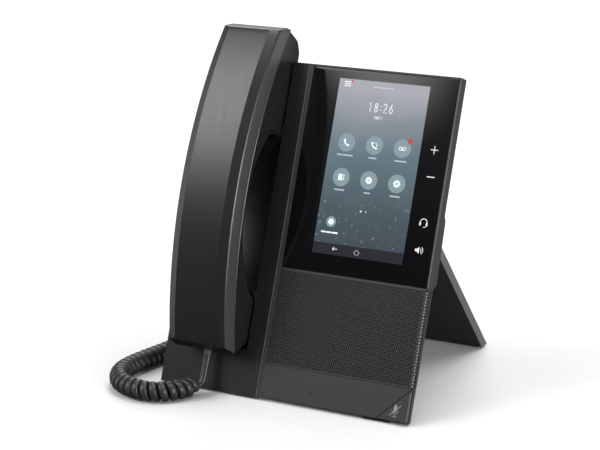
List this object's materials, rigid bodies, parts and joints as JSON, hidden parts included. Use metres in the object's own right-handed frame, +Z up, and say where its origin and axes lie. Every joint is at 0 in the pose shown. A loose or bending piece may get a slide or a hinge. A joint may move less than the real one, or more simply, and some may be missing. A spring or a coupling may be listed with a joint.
{
  "type": "desk phone",
  "caption": "Leaning desk phone with a curved corded handset in a side cradle, a tall touch display, a perforated speaker panel and a folding rear stand.",
  "frame": {"origin": "centre of the footprint of the body, handset and stand on the desk", "axes": "+X to the user's right, +Y away from the user, +Z up"},
  "size_m": [0.215, 0.211, 0.2249],
  "materials": {
    "housing_plastic": "fine textured charcoal moulding",
    "handset_plastic": "satin charcoal moulding",
    "stand_plastic": "textured dark grey moulding",
    "inner_plastic": "plain moulding",
    "grille_plastic": "finely perforated charcoal moulding",
    "cover_glass": "polished black-backed glass",
    "screen": "lit display behind the glass",
    "light_bar": "translucent diffuser",
    "rubber": "matt black",
    "speaker_paper": "treated paper cone",
    "magnet_iron": "ferrite and iron",
    "plated_steel": "zinc plated",
    "flex_film": "amber film",
    "circuit_board": "green solder mask",
    "jack_plastic": "black moulding",
    "plug_plastic": "clear polycarbonate",
    "cord_jacket": "satin charcoal jacket"
  },
  "bodies": {
    "root": {"cradle_housing": "housing_plastic", "display_housing": "housing_plastic", "touch_glass": "cover_glass", "glass_gasket": "rubber", "lcd_panel": "screen", "display_bracket": "plated_steel", "display_cable": "flex_film", "call_light": "light_bar", "speaker_grille": "grille_plastic", "speaker_gasket": "rubber", "speaker_basket": "inner_plastic", "speaker_cone": "speaker_paper", "speaker_magnet": "magnet_iron", "chin_cover": "housing_plastic", "key_board": "circuit_board", "mute_switch": "jack_plastic", "desk_microphone": "plated_steel", "main_board": "circuit_board", "processor_shield": "plated_steel", "lan_jack": "jack_plastic", "pc_jack": "jack_plastic", "handset_jack": "jack_plastic", "headset_jack": "jack_plastic", "power_jack": "jack_plastic", "usb_port": "plated_steel", "rear_cover": "housing_plastic", "case_screws": "plated_steel", "rubber_feet": "rubber", "hook_bracket": "inner_plastic", "hook_switch": "jack_plastic", "hook_spring": "plated_steel", "hinge_pins": "plated_steel", "cord_tail_front": "cord_jacket", "cord_coil": "cord_jacket", "cord_tail_back": "cord_jacket", "cord_base_plug": "plug_plastic"},
    "hook": {"hook_plunger": "inner_plastic"},
    "mute_key": {"mute_key": "housing_plastic"},
    "stand": {"stand_plate": "stand_plastic", "stand_foot_pads": "rubber"},
    "handset": {"handset_front_shell": "handset_plastic", "handset_rear_shell": "handset_plastic", "handset_receiver": "jack_plastic", "receiver_gasket": "rubber", "handset_microphone": "plated_steel", "microphone_boot": "rubber", "handset_weight": "magnet_iron", "handset_socket": "jack_plastic", "handset_screws": "plated_steel", "cord_handset_plug": "plug_plastic"}
  },
  "joints": [
    {"name": "handset_lift", "type": "slide", "parent": "root", "child": "handset", "axis": [0, -0.9415, 0.3371], "range_m": [0, 0.06]},
    {"name": "hook_rise", "type": "slide", "parent": "root", "child": "hook", "axis": [0, -0.9415, 0.3371], "range_m": [0, 0.004]},
    {"name": "mute_press", "type": "slide", "parent": "root", "child": "mute_key", "axis": [0, 0.9415, -0.3371], "range_m": [0, 0.0006], "stiffness_N_per_m": 1500, "springref_m": -0.0006},
    {"name": "stand_fold", "type": "hinge", "parent": "root", "child": "stand", "pos_m": [0, -0.00714, 0.10763], "axis": [1, 0, 0], "range_deg": [-60, 0]}
  ],
  "couplings": [
    {"joint": "hook_rise", "follows": "handset_lift", "ratio": 0.0666}
  ]
}
